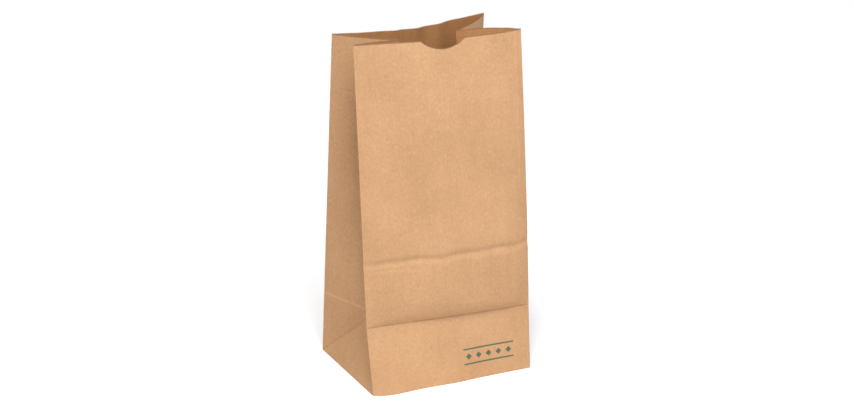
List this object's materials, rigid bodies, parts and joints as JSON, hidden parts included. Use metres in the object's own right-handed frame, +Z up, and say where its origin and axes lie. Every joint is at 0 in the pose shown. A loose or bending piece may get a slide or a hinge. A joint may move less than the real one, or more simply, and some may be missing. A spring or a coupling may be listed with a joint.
{
  "type": "brown paper lunch bag",
  "caption": "Standing open flat-bottomed kraft paper bag with pleated sides, a glued block base and a thumb notch in the front top edge.",
  "frame": {"origin": "centre of the base rectangle, on the surface the bag stands on", "axes": "+Z up towards the open mouth, +Y from the front panel with the thumb notch towards the back panel, +X to the right as the front is faced"},
  "size_m": [0.1556, 0.1216, 0.3122],
  "materials": {
    "kraft_paper": "uncoated natural kraft, matt"
  },
  "bodies": {
    "root": {"paper_bag": "kraft_paper"}
  },
  "joints": []
}
